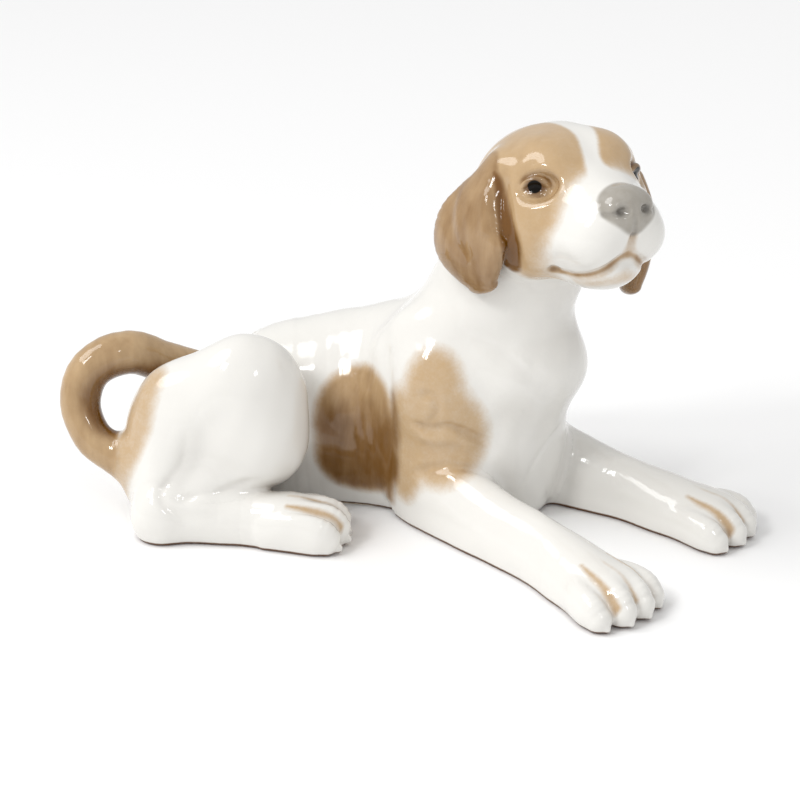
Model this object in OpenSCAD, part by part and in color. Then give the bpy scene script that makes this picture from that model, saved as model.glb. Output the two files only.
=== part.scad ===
// Lying puppy figurine in glazed porcelain.
// Hollow slip-cast body and head, with solid-cast ears, legs and tail luted on
// before firing, standing on a flat closing plate. Millimetres, +Z up, nose
// towards +X, the puppy's left side towards +Y, origin at the middle of the
// resting face.

/* [Body] */
// Length from the buttocks to the breast
body_length = 113; // [95:1:140]
// Width of the barrel at the ribs
body_width = 52; // [42:1:64]
// Height of the back above the loin
back_height = 53; // [44:1:64]
// Height of the withers
withers_height = 68; // [56:1:82]
// How far the rump swings to the right of the ribs
rump_swing = 30; // [15:1:36]
// How far the breast swings to the right of the ribs
breast_swing = 6; // [0:1:12]

/* [Shell and plate] */
// Thickness of the cast shell
wall = 3.6; // [2.5:0.1:5]
// Thickness of the closing plate
plate_thickness = 3.2; // [2:0.1:5]
// Diameter of the firing vent in the closing plate
vent_diameter = 7; // [4:0.5:10]
// Distance of the plate's edge inside the body's widest line
plate_inset = 7; // [5.5:0.5:9]

/* [Head] */
// Length of the skull
skull_length = 52; // [42:1:60]
// Width of the skull
skull_width = 45; // [37:1:54]
// Height of the skull
skull_height = 40; // [33:1:48]
// Distance of the nose's tip ahead of the skull's middle
nose_reach = 37; // [32:1:44]
// Width of the muzzle
muzzle_width = 28; // [21:1:31]
// Height of the crown above the resting face
crown_height = 118; // [100:1:140]
// Turn of the head to the right, in degrees
head_turn = 39; // [0:1:50]
// Lift of the nose, in degrees
head_lift = 8; // [0:1:20]
// Diameter of the neck below the jaw
neck_diameter = 37; // [31:1:45]

/* [Ears and tail] */
// Length of an ear
ear_length = 42; // [32:1:48]
// Width of an ear
ear_width = 29; // [21:1:33]
// Thickness of an ear
ear_thickness = 7; // [5:0.5:9]
// Diameter of the tail at its root
tail_root_diameter = 14; // [11:0.5:17]
// Diameter of the tail at its tip
tail_tip_diameter = 10; // [8:0.5:12]

/* [Hind legs] */
// Length of the folded thigh
thigh_length = 50; // [42:1:60]
// Height of the right thigh, on which the puppy doesn't lie
right_thigh_height = 57; // [47:1:68]
// Height of the left thigh, which is rolled under the hip
left_thigh_height = 35; // [29:1:40]
// Thickness of the folded thigh
thigh_thickness = 30; // [25:1:36]
// Length of the hind foot
hind_foot_length = 60; // [50:1:72]
// Width of the hind paw
hind_paw_width = 21; // [17:1:25]
// Height of the hind foot
hind_foot_height = 16; // [13:1:19]
// Heading of the hind legs, in degrees to the left
hind_heading = 25; // [15:1:30]

/* [Forelegs] */
// Length of the right forearm and paw from the elbow
right_foreleg_length = 91; // [76:1:110]
// Length of the left forearm and paw from the elbow
left_foreleg_length = 80; // [67:1:96]
// Thickness of a forearm
forearm_thickness = 20; // [17:1:24]
// Width of a forepaw
forepaw_width = 25; // [21:1:30]
// Height of a forepaw
forepaw_height = 16; // [13:1:19]
// Height of the upper arm's bulge on the shoulder
upper_arm_length = 46; // [38:1:55]
// Depth of that bulge from front to back
upper_arm_depth = 30; // [25:1:36]
// Thickness of that bulge
upper_arm_thickness = 22; // [18:1:26]
// Lean of that bulge inwards at its top, in degrees
upper_arm_lean = 14; // [8:1:20]
// Heading of the right foreleg, in degrees to the right
right_splay = 24; // [12:1:29]
// Heading of the left foreleg, in degrees to the right
left_splay = 8; // [0:1:15]

/* [Hidden] */

glaze = [0.94, 0.93, 0.90];
tan = [0.70, 0.55, 0.38];
bisque = [0.72, 0.62, 0.50];

ring_sides = 24; // sides of a lofted form
ball_sides = 20; // sides of an ellipsoid
far = 400; // reaches past the whole figure

widest = 0.6; // share of the body length where the ribs are widest
rump_x = -0.54 * body_length;
ribs_y = 8; // sideways place of the ribs

// Sideways place of the spine at share u of the body length
function spine_y(u) = ribs_y - (u < widest
    ? rump_swing * pow((widest - u) / widest, 2)
    : breast_swing * pow((u - widest) / (1 - widest), 2));
// Point on the spine's plan line
function spine(u) = [rump_x + u * body_length, spine_y(u)];
// Share of the length at u when both ends are drawn in by a shell's thickness
function drawn_in(u, shrink) = (shrink + u * (body_length - 2 * shrink)) / body_length;

// Body sections: share of the length, share of the half width, height of the top (from the
// back's height up to the loin, and from the withers' after it), depth below the top. The
// plate's level cuts the lower side off.
body_profile = [
    [0.000, 0.16, 0.62 * back_height, 12],
    [0.040, 0.58, 0.76 * back_height, 34],
    [0.120, 0.82, 0.85 * back_height, 54],
    [0.270, 0.90, 0.98 * back_height, 64],
    [0.440, 0.94, 0.83 * withers_height, 69],
    [0.600, 1.00, 0.91 * withers_height, 74],
    [0.740, 0.98, 1.00 * withers_height, 77],
    [0.850, 0.80, 1.00 * withers_height, 66],
    [0.940, 0.56, 0.93 * withers_height, 46],
    [1.000, 0.24, 0.80 * withers_height, 20]];
function body_section(p, shrink) = let (at = spine(drawn_in(p[0], shrink))) [
    at[0], at[1], p[2] - p[3] / 2,
    max(0.5, p[1] * body_width / 2 - shrink), max(0.5, p[3] / 2 - shrink)];

neck_foot = spine(0.73);
neck_reach = [27, -8.4]; // the skull's middle from the neck's foot, in plan
crown_over = 1; // height of the brow's bulge above the skull's own top
skull_centre = [neck_foot[0] + neck_reach[0], neck_foot[1] + neck_reach[1],
    crown_height - skull_height / 2 - crown_over];
muzzle_height = 0.82 * muzzle_width;
jaw_room = 6; // height of the jaw's underside above the joint under it
neck_seam = crown_height - 0.80 * skull_height - jaw_room;
rim_lap = 1; // how far the head's hollow reaches below the joint, so that both hollows meet

spine_side = [0, 1, 0]; // sideways direction of the body's sections

// A value on the smooth curve through points a, b, c, d, between b and c
function curve(a, b, c, d, t) = b + 0.5 * t * (c - a
    + t * (2 * a - 5 * b + 4 * c - d + t * (3 * (b - c) + d - a)));
// The sections s with smooth ones put between them
function smooth(s, steps) = [for (i = [0 : len(s) - 2], k = [0 : steps - 1])
    curve(s[max(0, i - 1)], s[i], s[i + 1], s[min(len(s) - 1, i + 2)], k / steps),
    s[len(s) - 1]];
function place(p) = [p[0], p[1], p[2]];
function unit(v) = v / norm(v);
// Points of one elliptical ring: half width p[3] along side, half height p[4] across it
function ring(p, along, side, sides) =
    let (a = unit(along), w = unit(side - (side * a) * a), h = cross(a, w))
    [for (k = [0 : sides - 1]) place(p) + p[3] * cos(360 * k / sides) * w
        + p[4] * sin(360 * k / sides) * h];

// A closed form through sections [x, y, z, half width, half height]
module loft(sections, side = spine_side, steps = 2, sides = ring_sides) {
    s = smooth(sections, steps);
    n = len(s);
    points = [for (i = [0 : n - 1])
        each ring(s[i], place(s[min(n - 1, i + 1)]) - place(s[max(0, i - 1)]), side, sides)];
    faces = [
        [for (k = [0 : sides - 1]) k],
        [for (k = [sides - 1 : -1 : 0]) (n - 1) * sides + k],
        for (i = [0 : n - 2], k = [0 : sides - 1]) each let (
            a = i * sides + k, b = i * sides + (k + 1) % sides)
            [[a, a + sides, b], [b, a + sides, b + sides]]];
    polyhedron(points = points, faces = faces, convexity = 6);
}

// An ellipsoid at a point, with its three half sizes
module ball(at, half) translate(at) scale(half) sphere(1, $fn = ball_sides);

// Everything above a level
module above(z) translate([-far / 2, -far / 2, z]) cube(far);

// One cast piece: its whole form is worked out as a single skin
module cast() resize([0, 0, 0]) children();

module body_form(shrink = 0) loft([for (p = body_profile) body_section(p, shrink)]);

// Neck sections: forward of the neck's foot, to the left, height, share of the neck's width
neck_profile = [[-8, 0, 0.62 * withers_height, 1.28], [0, 0, 0.78 * withers_height, 1.26],
    [7, -1, 0.94 * withers_height, 1.12], [12, -2, neck_seam - 3, 1.02],
    [16, -3, neck_seam + 4, 0.96], [20, -4, neck_seam + 13, 0.84]];
module neck_form(shrink = 0) loft([for (p = neck_profile) [neck_foot[0] + p[0],
    neck_foot[1] + p[1], p[2], p[3] * neck_diameter / 2 - shrink,
    p[3] * neck_diameter / 2 - shrink]]);

module at_head() translate(skull_centre) rotate([0, -head_lift, -head_turn]) children();

// The head's lumps in its own frame (ahead, left, up): place, then half sizes
braincase = [[-2, 0, 0], [skull_length / 2, skull_width / 2, skull_height / 2]];
cheeks = [[8, 0, -5], [14, 0.40 * skull_width, 0.33 * skull_height]];
muzzle = [[nose_reach - 13, 0, -4], [10, muzzle_width / 2, muzzle_height / 2]];
jaw = [[6, 0, -12], [12, 0.32 * skull_width, 0.23 * skull_height]];
chin = [[nose_reach - 16, 0, -15], [9, 0.36 * muzzle_width, 0.28 * muzzle_height]];
nose = [[nose_reach - 5, 0, 2], [5, 0.27 * muzzle_width, 0.24 * muzzle_height]];
module lump(l, shrink = 0) ball(l[0], [for (h = l[1]) h - shrink]);
module skull_form(shrink = 0) {
    lump(braincase, shrink);
    hull() {
        lump(cheeks, shrink);
        lump(muzzle, shrink);
    }
    hull() {
        lump(jaw, shrink);
        lump(chin, shrink);
    }
}
module head_form() {
    at_head() skull_form();
    neck_form();
}
throat_reach = 4; // the jaw hangs below the joint from this far ahead of the skull's middle

module torso_shell() color(glaze) cast() difference() {
    intersection() {
        union() {
            body_form();
            neck_form();
        }
        translate([-far / 2, -far / 2, plate_thickness])
            cube([far, far, neck_seam - plate_thickness]);
    }
    body_form(wall);
    neck_form(wall);
}

module head_shell() color(glaze) cast() difference() {
    union() {
        intersection() {
            head_form();
            above(neck_seam);
        }
        intersection() {
            at_head() skull_form();
            translate([skull_centre[0] + throat_reach, -far / 2, 0]) cube(far);
        }
        at_head() lump(nose);
    }
    at_head() skull_form(wall);
    intersection() {
        neck_form(wall);
        above(neck_seam - rim_lap);
    }
    torso_shell();
}

// Outline of the closing plate: a strip along the spine with round ends
plate_from = 0.24; // share of the body length at its rear end
plate_to = 0.64; // and at its front end
plate_half = body_width / 2 - plate_inset;
plate_steps = 14; // pieces of each long edge
vent_at = 0.35; // share of the body length at the vent
cut = 1; // how far a cut runs past the face it opens
function heading(u) = atan2(spine(u + 0.01)[1] - spine(u - 0.01)[1],
    spine(u + 0.01)[0] - spine(u - 0.01)[0]);
function plate_u(k) = plate_from + (plate_to - plate_from) * k / plate_steps;
function beside(u, angle) = spine(u) + plate_half * [cos(angle), sin(angle)];
plate_outline = concat(
    [for (k = [0 : plate_steps]) beside(plate_u(k), heading(plate_u(k)) - 90)],
    [for (a = [-75 : 15 : 75]) beside(plate_to, heading(plate_to) + a)],
    [for (k = [plate_steps : -1 : 0]) beside(plate_u(k), heading(plate_u(k)) + 90)],
    [for (a = [105 : 15 : 255]) beside(plate_from, heading(plate_from) + a)]);
// The room that the closing plate takes, without its vent
module plate_space() translate([0, 0, -cut]) linear_extrude(plate_thickness + cut)
    polygon(plate_outline);
module closing_plate() color(bisque) difference() {
    linear_extrude(plate_thickness) polygon(plate_outline);
    translate([spine(vent_at)[0], spine(vent_at)[1], -cut])
        cylinder(d = vent_diameter, h = plate_thickness + 2 * cut, $fn = 48);
}

// Ear sections from the root down: ahead, out as a share of the skull's half width, up as a
// share of the ear's length, then shares of the ear's width and thickness
ear_profile = [
    [-6, 0.78, 0.30, 0.30, 0.60], [-8, 0.92, 0.22, 0.62, 0.90], [-10, 1.08, 0.02, 0.92, 1.00],
    [-12, 1.17, -0.22, 1.00, 1.00], [-12, 1.18, -0.42, 0.86, 0.95], [-10, 1.14, -0.58, 0.50, 0.75],
    [-9, 1.12, -0.66, 0.16, 0.30]];
module ear_form(side) at_head() loft([for (p = ear_profile)
    [p[0], side * p[1] * skull_width / 2, p[2] * ear_length + 1,
    p[3] * ear_width / 2, p[4] * ear_thickness / 2]], side = [1, 0, 0]);
module ear(side) color(tan) cast() difference() {
    ear_form(side);
    head_form();
    body_form();
}
module right_ear() ear(-1);
module left_ear() ear(1);

// The hind leg's own frame: x along its heading, y towards the body
hip_share = 0.20; // share of the body length at the hips
hip_seat = 0.43 * body_width; // how far the haunch's seat is from the spine
right_hip = [spine(hip_share)[0], spine(hip_share)[1] - hip_seat - 0.375 * thigh_thickness, 0];
left_hip = [spine(hip_share)[0], spine(hip_share)[1] + hip_seat + 0.165 * thigh_thickness, 0];
module at_hind(side) translate(side < 0 ? right_hip : left_hip) rotate(hind_heading)
    mirror([0, side < 0 ? 0 : 1, 0]) children();

// Tail centre line from the root round to the tip, which leans on the back of the right thigh
tail_root = [spine(0.04)[0], spine(0.04)[1], 0.69 * back_height];
tail_curl = [[7, 9, -3], [0, 0, 1], [-7, -9, 5], [-14, -17, 8], [-22, -25, 4],
    [-25, -30, -5], [-21, -32, -13], [-12, -31, -18], [-2, -28, -18]];
tail_end = len(tail_curl) - 1;
tip_back = 0.425 * thigh_length; // how far behind the hip the tip leans
tip_in = 2; // and how far to its inner side
tail_tip = right_hip + [-tip_back * cos(hind_heading) - tip_in * sin(hind_heading),
    -tip_back * sin(hind_heading) + tip_in * cos(hind_heading), 0.326 * right_thigh_height];
// The curl's points, each drawn along with the tip by its share of the tail
tail_line = [for (k = [0 : tail_end]) tail_root + tail_curl[k]
    + (tail_tip - tail_root - tail_curl[tail_end]) * k / tail_end];
function tail_taper(k) = tail_root_diameter
    + (tail_tip_diameter - tail_root_diameter) * k / tail_end;
module tail_form() loft([for (k = [0 : tail_end])
    [for (v = tail_line[k]) v, tail_taper(k) / 2, tail_taper(k) / 2]],
    side = [0.75, -0.66, 0], sides = 16);
module tail() color(tan) cast() difference() {
    tail_form();
    body_form();
    thigh_form(-1);
}

// Lumps of the folded thigh, its front, its buttock and its knee, as shares of its length,
// thickness and height: place, then half sizes
thigh_lumps = [[[0.16, 0.00, 0.67], [0.35, 0.44, 0.33]],
    [[-0.20, 0.13, 0.44], [0.34, 0.44, 0.41]],
    [[0.26, -0.07, 0.44], [0.25, 0.40, 0.22]]];
module thigh_form(side) {
    sizes = [thigh_length, thigh_thickness, side < 0 ? right_thigh_height : left_thigh_height];
    at_hind(side) hull() for (l = thigh_lumps)
        ball([for (i = [0 : 2]) l[0][i] * sizes[i]], [for (i = [0 : 2]) l[1][i] * sizes[i]]);
}
module thigh(side) color(glaze) cast() difference() {
    intersection() {
        thigh_form(side);
        above(0);
    }
    body_form();
    plate_space();
}
module right_thigh() thigh(-1);
module left_thigh() thigh(1);

toe_places = [-1.5, -0.5, 0.5, 1.5]; // the four toes across a paw, in toe widths
toe_length = 16;
toe_arc = 0.9; // how far the outer toes stand back
// Toes at the front of a paw of a given width and height
module toes(tip, width, height) for (k = toe_places)
    ball([tip - toe_length / 2 + 1 - toe_arc * k * k, 0.244 * k * width, 0.42 * height],
        [toe_length / 2, 0.15 * width, 0.5 * height]);

// Foot sections from heel to toes: share of the length, half width as a share of the paw's
// width, height of the middle and thickness as shares of the foot's height
hind_foot_profile = [
    [0.00, 0.20, 0.35, 0.40], [0.06, 0.36, 0.42, 0.85], [0.22, 0.40, 0.46, 1.08],
    [0.50, 0.38, 0.44, 1.00], [0.74, 0.47, 0.40, 1.05], [0.90, 0.45, 0.36, 0.85],
    [0.97, 0.26, 0.32, 0.45]];
hind_foot_out = 0.30 * thigh_thickness; // how far the heel is to the thigh's outer side
hind_foot_toe_out = 4; // how much further out the toes are
module hind_foot_form(side) at_hind(side) {
    heel = -0.40 * hind_foot_length;
    loft([for (p = hind_foot_profile)
        [heel + p[0] * hind_foot_length, -hind_foot_out - hind_foot_toe_out * p[0],
        p[2] * hind_foot_height, p[1] * hind_paw_width, p[3] * hind_foot_height / 2]],
        sides = 20);
    translate([0, -hind_foot_out - hind_foot_toe_out, 0])
        toes(heel + hind_foot_length, hind_paw_width, hind_foot_height);
}
module hind_foot(side) color(glaze) cast() difference() {
    intersection() {
        hind_foot_form(side);
        above(0);
    }
    thigh_form(side);
    body_form();
    plate_space();
}
module right_hind_foot() hind_foot(-1);
module left_hind_foot() hind_foot(1);

// The foreleg's own frame starts at the elbow, under the shoulder
right_elbow = [spine(0.62)[0], spine(0.62)[1] - 0.346 * body_width, 0];
left_elbow = [spine(0.76)[0], spine(0.76)[1] + 0.288 * body_width, 0];
module at_elbow(side) translate(side < 0 ? right_elbow : left_elbow)
    rotate(side < 0 ? -right_splay : -left_splay) children();

// Leg sections from elbow to toes: share of the length, then the half width, the height of
// the middle and the half height as shares of the forearm's thickness
foreleg_profile = [
    [-0.10, 0.30, 0.40, 0.30], [-0.03, 0.50, 0.55, 0.70], [0.12, 0.56, 0.55, 0.72],
    [0.35, 0.53, 0.48, 0.55], [0.58, 0.46, 0.42, 0.50], [0.76, 0.52, 0.38, 0.50],
    [0.90, 0.52, 0.34, 0.42], [0.97, 0.34, 0.30, 0.26]];
elbow_round = 0.45 * forearm_thickness;
// The upper arm's bulge on the shoulder, drawn down to the elbow
module upper_arm_form(side) hull() {
    translate([spine(0.68)[0], spine(0.68)[1] + side * 0.36 * body_width, 0.5 * withers_height])
        rotate([side * upper_arm_lean, 0, 0])
        ball([0, 0, 0], [upper_arm_depth, upper_arm_thickness, upper_arm_length] / 2);
    at_elbow(side) ball([0, 0, 0.6 * forearm_thickness], elbow_round * [1, 1, 1]);
}
module foreleg_form(side) {
    long = side < 0 ? right_foreleg_length : left_foreleg_length;
    at_elbow(side) {
        loft([for (p = foreleg_profile) [p[0] * long, 0, p[2] * forearm_thickness,
            p[1] * forearm_thickness, p[3] * forearm_thickness]], sides = 20);
        toes(long, forepaw_width, forepaw_height);
    }
    upper_arm_form(side);
}
module foreleg(side) color(glaze) cast() difference() {
    intersection() {
        foreleg_form(side);
        above(0);
    }
    body_form();
    neck_form();
    plate_space();
}
module right_foreleg() foreleg(-1);
module left_foreleg() foreleg(1);

torso_shell();
head_shell();
closing_plate();
right_ear();
left_ear();
tail();
right_thigh();
left_thigh();
right_hind_foot();
left_hind_foot();
right_foreleg();
left_foreleg();
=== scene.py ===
import math
from concurrent.futures import ThreadPoolExecutor
import bpy
import numpy as np
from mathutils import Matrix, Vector


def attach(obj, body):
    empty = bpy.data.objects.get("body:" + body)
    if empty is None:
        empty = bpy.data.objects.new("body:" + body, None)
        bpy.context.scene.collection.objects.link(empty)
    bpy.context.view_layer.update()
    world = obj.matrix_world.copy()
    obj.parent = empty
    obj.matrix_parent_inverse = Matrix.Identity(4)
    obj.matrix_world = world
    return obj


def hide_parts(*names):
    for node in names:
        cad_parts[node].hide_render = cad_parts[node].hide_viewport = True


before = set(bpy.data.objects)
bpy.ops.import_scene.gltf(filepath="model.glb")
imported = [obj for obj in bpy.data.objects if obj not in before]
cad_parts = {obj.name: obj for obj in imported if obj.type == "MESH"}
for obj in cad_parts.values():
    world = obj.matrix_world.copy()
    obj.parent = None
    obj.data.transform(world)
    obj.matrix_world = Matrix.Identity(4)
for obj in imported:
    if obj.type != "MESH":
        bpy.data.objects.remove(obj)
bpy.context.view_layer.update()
mm = 0.001

# the camera's angles in degrees, and its distance, target, sensor and width of view in millimetres
view = {"azimuth": 25, "elevation": 22, "distance": 520, "target": (0, 0, 30), "across": 236, "sensor": 36}


def lookAt(place, target):
    # turns an object's -Z to the target with its Y upwards
    return (Vector(target) - Vector(place)).to_track_quat("-Z", "Y").to_euler()


def makeCamera():
    # back points from the target to the camera; the lens is as long as it takes to show the
    # view's width at the target
    azimuth = math.radians(view["azimuth"])
    elevation = math.radians(view["elevation"])
    level = math.cos(elevation)
    back = Vector((math.sin(azimuth) * level, -math.cos(azimuth) * level, math.sin(elevation)))
    data = bpy.data.cameras.new("camera")
    data.sensor_width = view["sensor"]
    data.lens = view["sensor"] * view["distance"] / view["across"]
    data.clip_start = 0.02
    data.clip_end = 20
    camera = bpy.data.objects.new("camera", data)
    target = Vector(view["target"]) * mm
    camera.location = target + back * view["distance"] * mm
    camera.rotation_euler = lookAt(camera.location, target)
    bpy.context.collection.objects.link(camera)
    bpy.context.scene.camera = camera


makeCamera()
print("camera placed")


# from here on lengths are in millimetres, until a mesh is made
def unit(v):
    # a row of the same direction that is one long
    v = np.asarray(v, float)
    return v / np.linalg.norm(v)


def turned(yaw=0, lift=0, roll=0):
    # rows are the forward, left and up axes of a frame turned left, then lifted, then rolled
    y, p, r = np.radians((yaw, lift, roll))
    ahead = np.array((np.cos(y) * np.cos(p), np.sin(y) * np.cos(p), np.sin(p)))
    left = np.array((-np.sin(y), np.cos(y), 0.0))
    up = np.cross(ahead, left)
    return np.array((ahead, np.cos(r) * left + np.sin(r) * up, np.cos(r) * up - np.sin(r) * left))


def softMin(a, b, blend):
    # the lesser of two distances, rounded over where they are closer than the blend
    h = np.clip(blend - np.abs(a - b), 0, None) / blend
    return np.minimum(a, b) - h * h * blend / 4


def softMax(a, b, blend):
    # the greater of two distances, rounded over in the same way
    return -softMin(-a, -b, blend)


spanSteps = 4  # straight pieces to each span of a smooth line


def curve(points):
    # points on the smooth curve through the given rows: a cubic to each span, whose slope at a
    # row is half the step from the row before it to the row after it
    p = np.asarray(points, float)
    p = np.vstack((p[:1], p, p[-1:]))
    t = (np.arange(spanSteps) / spanSteps)[None, :, None]
    a, b, c, d = (p[i:len(p) - 3 + i, None, :] for i in range(4))
    q = b + 0.5 * t * (c - a + t * (2 * a - 5 * b + 4 * c - d + t * (3 * (b - c) + d - a)))
    return np.vstack((q.reshape(-1, p.shape[1]), p[-1:]))


def nearestOn(line, p):
    # the square of each place's distance to a line of points, and how many points along that is
    best = np.full(len(p), np.inf)
    where = np.zeros(len(p))
    for i, (a, b) in enumerate(zip(line[:-1], line[1:])):
        t = np.clip((p - a) @ (b - a) / ((b - a) @ (b - a)), 0, 1)
        d = ((p - a - t[:, None] * (b - a)) ** 2).sum(1)
        nearer = d < best
        best = np.where(nearer, d, best)
        where = np.where(nearer, i + t, where)
    return best, where


def ovalDistance(q, half):
    # from q, measured from an ellipsoid's middle, to its surface: k0 (k0 - 1) / k1, where k0 is
    # the length of q over the half sizes and k1 the length of q over their squares
    k0 = np.sqrt(((q / half) ** 2).sum(1))
    k1 = np.sqrt(((q / half ** 2) ** 2).sum(1)) + 1e-9
    return k0 * (k0 - 1) / k1


outside = 9.0  # distance given to a point that no lump is near


class Clay:
    # lumps that are worked into one another in the order in which they are added
    def __init__(self):
        self.lumps = []
        self.frameTo((0, 0, 0), np.eye(3))

    def frameTo(self, origin, axes, mirror=1):
        # lumps are given in this frame from now on, mirrored left to right where mirror is -1
        self.origin, self.axes = np.asarray(origin, float), np.asarray(axes, float)
        self.flip = np.array((1, mirror, 1.0))

    def out(self, p):
        # a local point, or rows of them, in the figure's frame
        return self.origin + (np.asarray(p, float) * self.flip) @ self.axes

    def keep(self, low, high, distance, blend, how):
        # a lump counts only inside its box, which has room round it for the blend
        pad = blend + 4
        self.lumps.append((np.asarray(low) - pad, np.asarray(high) + pad, distance, blend, how))

    def ball(self, centre, half, blend=4, yaw=0, lift=0, roll=0, how="add"):
        # an ellipsoid of three half sizes, turned in the frame
        c = self.out(centre)
        half = np.asarray(half, float)
        s = self.flip[1]
        axes = turned(yaw * s, lift, roll * s) @ self.axes
        reach = np.abs(axes.T) @ half

        def distance(p):
            return ovalDistance((p - c) @ axes.T, half)
        self.keep(c - reach, c + reach, distance, blend, how)

    def limb(self, rows, side=(0, 1, 0), blend=4):
        # a bar of elliptical section along a smooth line: rows are x, y, z, half width along
        # side and half height; the distance is to the ellipse at the line's nearest point
        rows = np.asarray(rows, float)
        if rows.shape[1] == 4:
            rows = np.hstack((rows, rows[:, 3:4]))
        rows = curve(rows)
        places = self.out(rows[:, :3])
        half = rows[:, 3:]
        ahead = np.gradient(places, axis=0)
        ahead /= np.linalg.norm(ahead, axis=1)[:, None]
        wide = (np.asarray(side, float) * self.flip) @ self.axes
        reach = half.max(1)[:, None]

        def distance(p):
            where = nearestOn(places, p)[1]
            i = np.minimum(where.astype(int), len(places) - 2)
            t = (where - i)[:, None]
            centre = places[i] + t * (places[i + 1] - places[i])
            r = half[i] + t * (half[i + 1] - half[i])
            along = ahead[i] + t * (ahead[i + 1] - ahead[i])
            along /= np.linalg.norm(along, axis=1)[:, None]
            w = wide - (along @ wide)[:, None] * along
            w /= np.linalg.norm(w, axis=1)[:, None]
            q = p - centre
            parts = np.stack(((q * along).sum(1), (q * w).sum(1), (q * np.cross(along, w)).sum(1)), 1)
            return ovalDistance(parts, np.stack((r.min(1), r[:, 0], r[:, 1]), 1))
        self.keep((places - reach).min(0), (places + reach).max(0), distance, blend, "add")

    def stroke(self, points, width, depth):
        # a groove, or a ridge where depth is negative, along a smooth line on the surface,
        # which fades out towards its ends
        line = self.out(curve(points))
        last = len(line) - 1

        def distance(p):
            best, where = nearestOn(line, p)
            end = np.minimum(where, last - where) / (0.25 * last)
            return depth * np.exp(-best / width ** 2) * np.clip(0.3 + end, 0, 1)
        reach = 2.2 * width - 4
        self.keep(line.min(0) - reach, line.max(0) + reach, distance, 0, "press")

    def __call__(self, p, field=None):
        # the distance from each place to the clay, worked into a field where one is given
        f = np.full(len(p), outside) if field is None else field
        for low, high, distance, blend, how in self.lumps:
            near = np.flatnonzero(((p > low) & (p < high)).all(1))
            if len(near) == 0:
                continue
            d = distance(p[near])
            if how == "add":
                f[near] = softMin(f[near], d, blend)
            elif how == "cut":
                f[near] = softMax(f[near], -d, blend)
            else:
                f[near] += d
        return f


# the spine's places, with the trunk's half width, top and bottom at each, and the neck's rows
# of x, y, z and radius
trunk = {"spine": ((-61, -22), (-56.5, -18), (-47.5, -11), (-30.5, -1), (-11, 6), (7, 8), (20, 7.5),
                   (26, 6.5)),
         "wide": (4, 15, 21.5, 23.5, 24.5, 26, 24.5, 22),
         "top": (34, 40, 44, 50.5, 55, 60, 63, 63),
         "bottom": (22, 6, -9, -12, -13, -12, -10, -8),
         "neck": ((18, 7, 44, 19), (23, 7, 53, 20.6), (28.5, 6, 64, 20.8), (34.5, 4.5, 76, 19),
                  (38.5, 3, 86, 17.6), (42.5, 1, 95, 15.5)),
         "shoulderBlade": ((14, -9, 46), (15, 9, 17)),
         "chest": ((34, 5.5, 46), (20.5, 20.5, 16))}


def torso():
    # an oval bar along the spine, a round one up the neck, a shoulder blade and the chest
    c = Clay()
    c.limb([(x, y, (t + b) / 2, w, (t - b) / 2)
            for (x, y), w, t, b in zip(trunk["spine"], trunk["wide"], trunk["top"], trunk["bottom"])])
    c.limb(trunk["neck"], blend=9)
    c.ball(*trunk["shoulderBlade"], blend=9, lift=20)
    c.ball(*trunk["chest"], blend=8)
    return c


# the head's place in the figure and its turn, as a scratch script fitted them
headFrame = {"origin": (48.4, -0.8, 97.1), "yaw": -38.7, "lift": 8}
# each lump's centre and half sizes, in the head's own frame with its nose along x
headShape = {"skull": ((-3, 0, 0.8), (23.5, 22.5, 19.7)),
             "face": ((11, 0, -6), (16, 15.5, 12.5)),
             "muzzle": ((10, 0, 0, 11.5, 12), (20, 0, -0.5, 11, 9.5), (28, 0, -1, 9, 8)),
             "chin": ((17.5, 0, -15.4), (13.5, 9.6, 6.6)),
             "brow": ((7, 8.5, 8), (8.5, 7.5, 8)),
             "cheek": ((2, 13.5, -7.5), (13, 8.5, 11)),
             "lip": ((23.5, 6.5, -6.6), (10.5, 8, 8.4)),
             "cheekFold": ((2.4, 20.8, 9.4), (5.6, 21.2, 4.7), (9.2, 21.4, -4.3), (9.8, 20.4, -9.5),
                           (7, 19, -15.3))}


def toHead(c, mirror=1):
    # lumps are given in the head's frame, or its mirror image, from now on
    c.frameTo(headFrame["origin"], turned(headFrame["yaw"], headFrame["lift"]), mirror)


eye = {"centre": (8.6, 12.6, 6), "radius": 5.0, "gaze": (0.86, 0.5, 0.05)}


def head():
    # skull, face, muzzle and chin, and on each side a brow, a cheek, a lip, the fold in front of
    # the ear and an eye
    c = Clay()
    toHead(c)
    c.ball(*headShape["skull"])
    c.ball(*headShape["face"], blend=8)
    c.limb(headShape["muzzle"], blend=7)
    c.ball(*headShape["chin"], blend=4)
    for side in (-1, 1):
        toHead(c, side)
        c.ball(*headShape["brow"], blend=7)
        c.ball(*headShape["cheek"], blend=8)
        c.ball(*headShape["lip"], blend=4.5)
        c.stroke(headShape["cheekFold"], 2.2, 1.7)
        lids(c)
    toHead(c)
    nosePad(c)
    mouth(c)
    return c


def onEye(across, up, radius):
    # the place at so many degrees outwards and upwards from the gaze on a ball round the eye
    gaze = unit(eye["gaze"])
    out = unit((-gaze[1], gaze[0], 0))
    a, b = math.radians(across), math.radians(up)
    return np.asarray(eye["centre"]) + radius * (
        math.cos(b) * (math.cos(a) * gaze + math.sin(a) * out) + math.sin(b) * np.cross(gaze, out))


def lidBar(c, path, radius, thick):
    # a lid as a bar that tapers to both corners of the eye
    n = len(path) - 1
    c.limb([(*onEye(a, b, radius), thick * (0.6 + 0.4 * math.sin(math.pi * k / n)))
            for k, (a, b) in enumerate(path)], blend=0.9)


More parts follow.
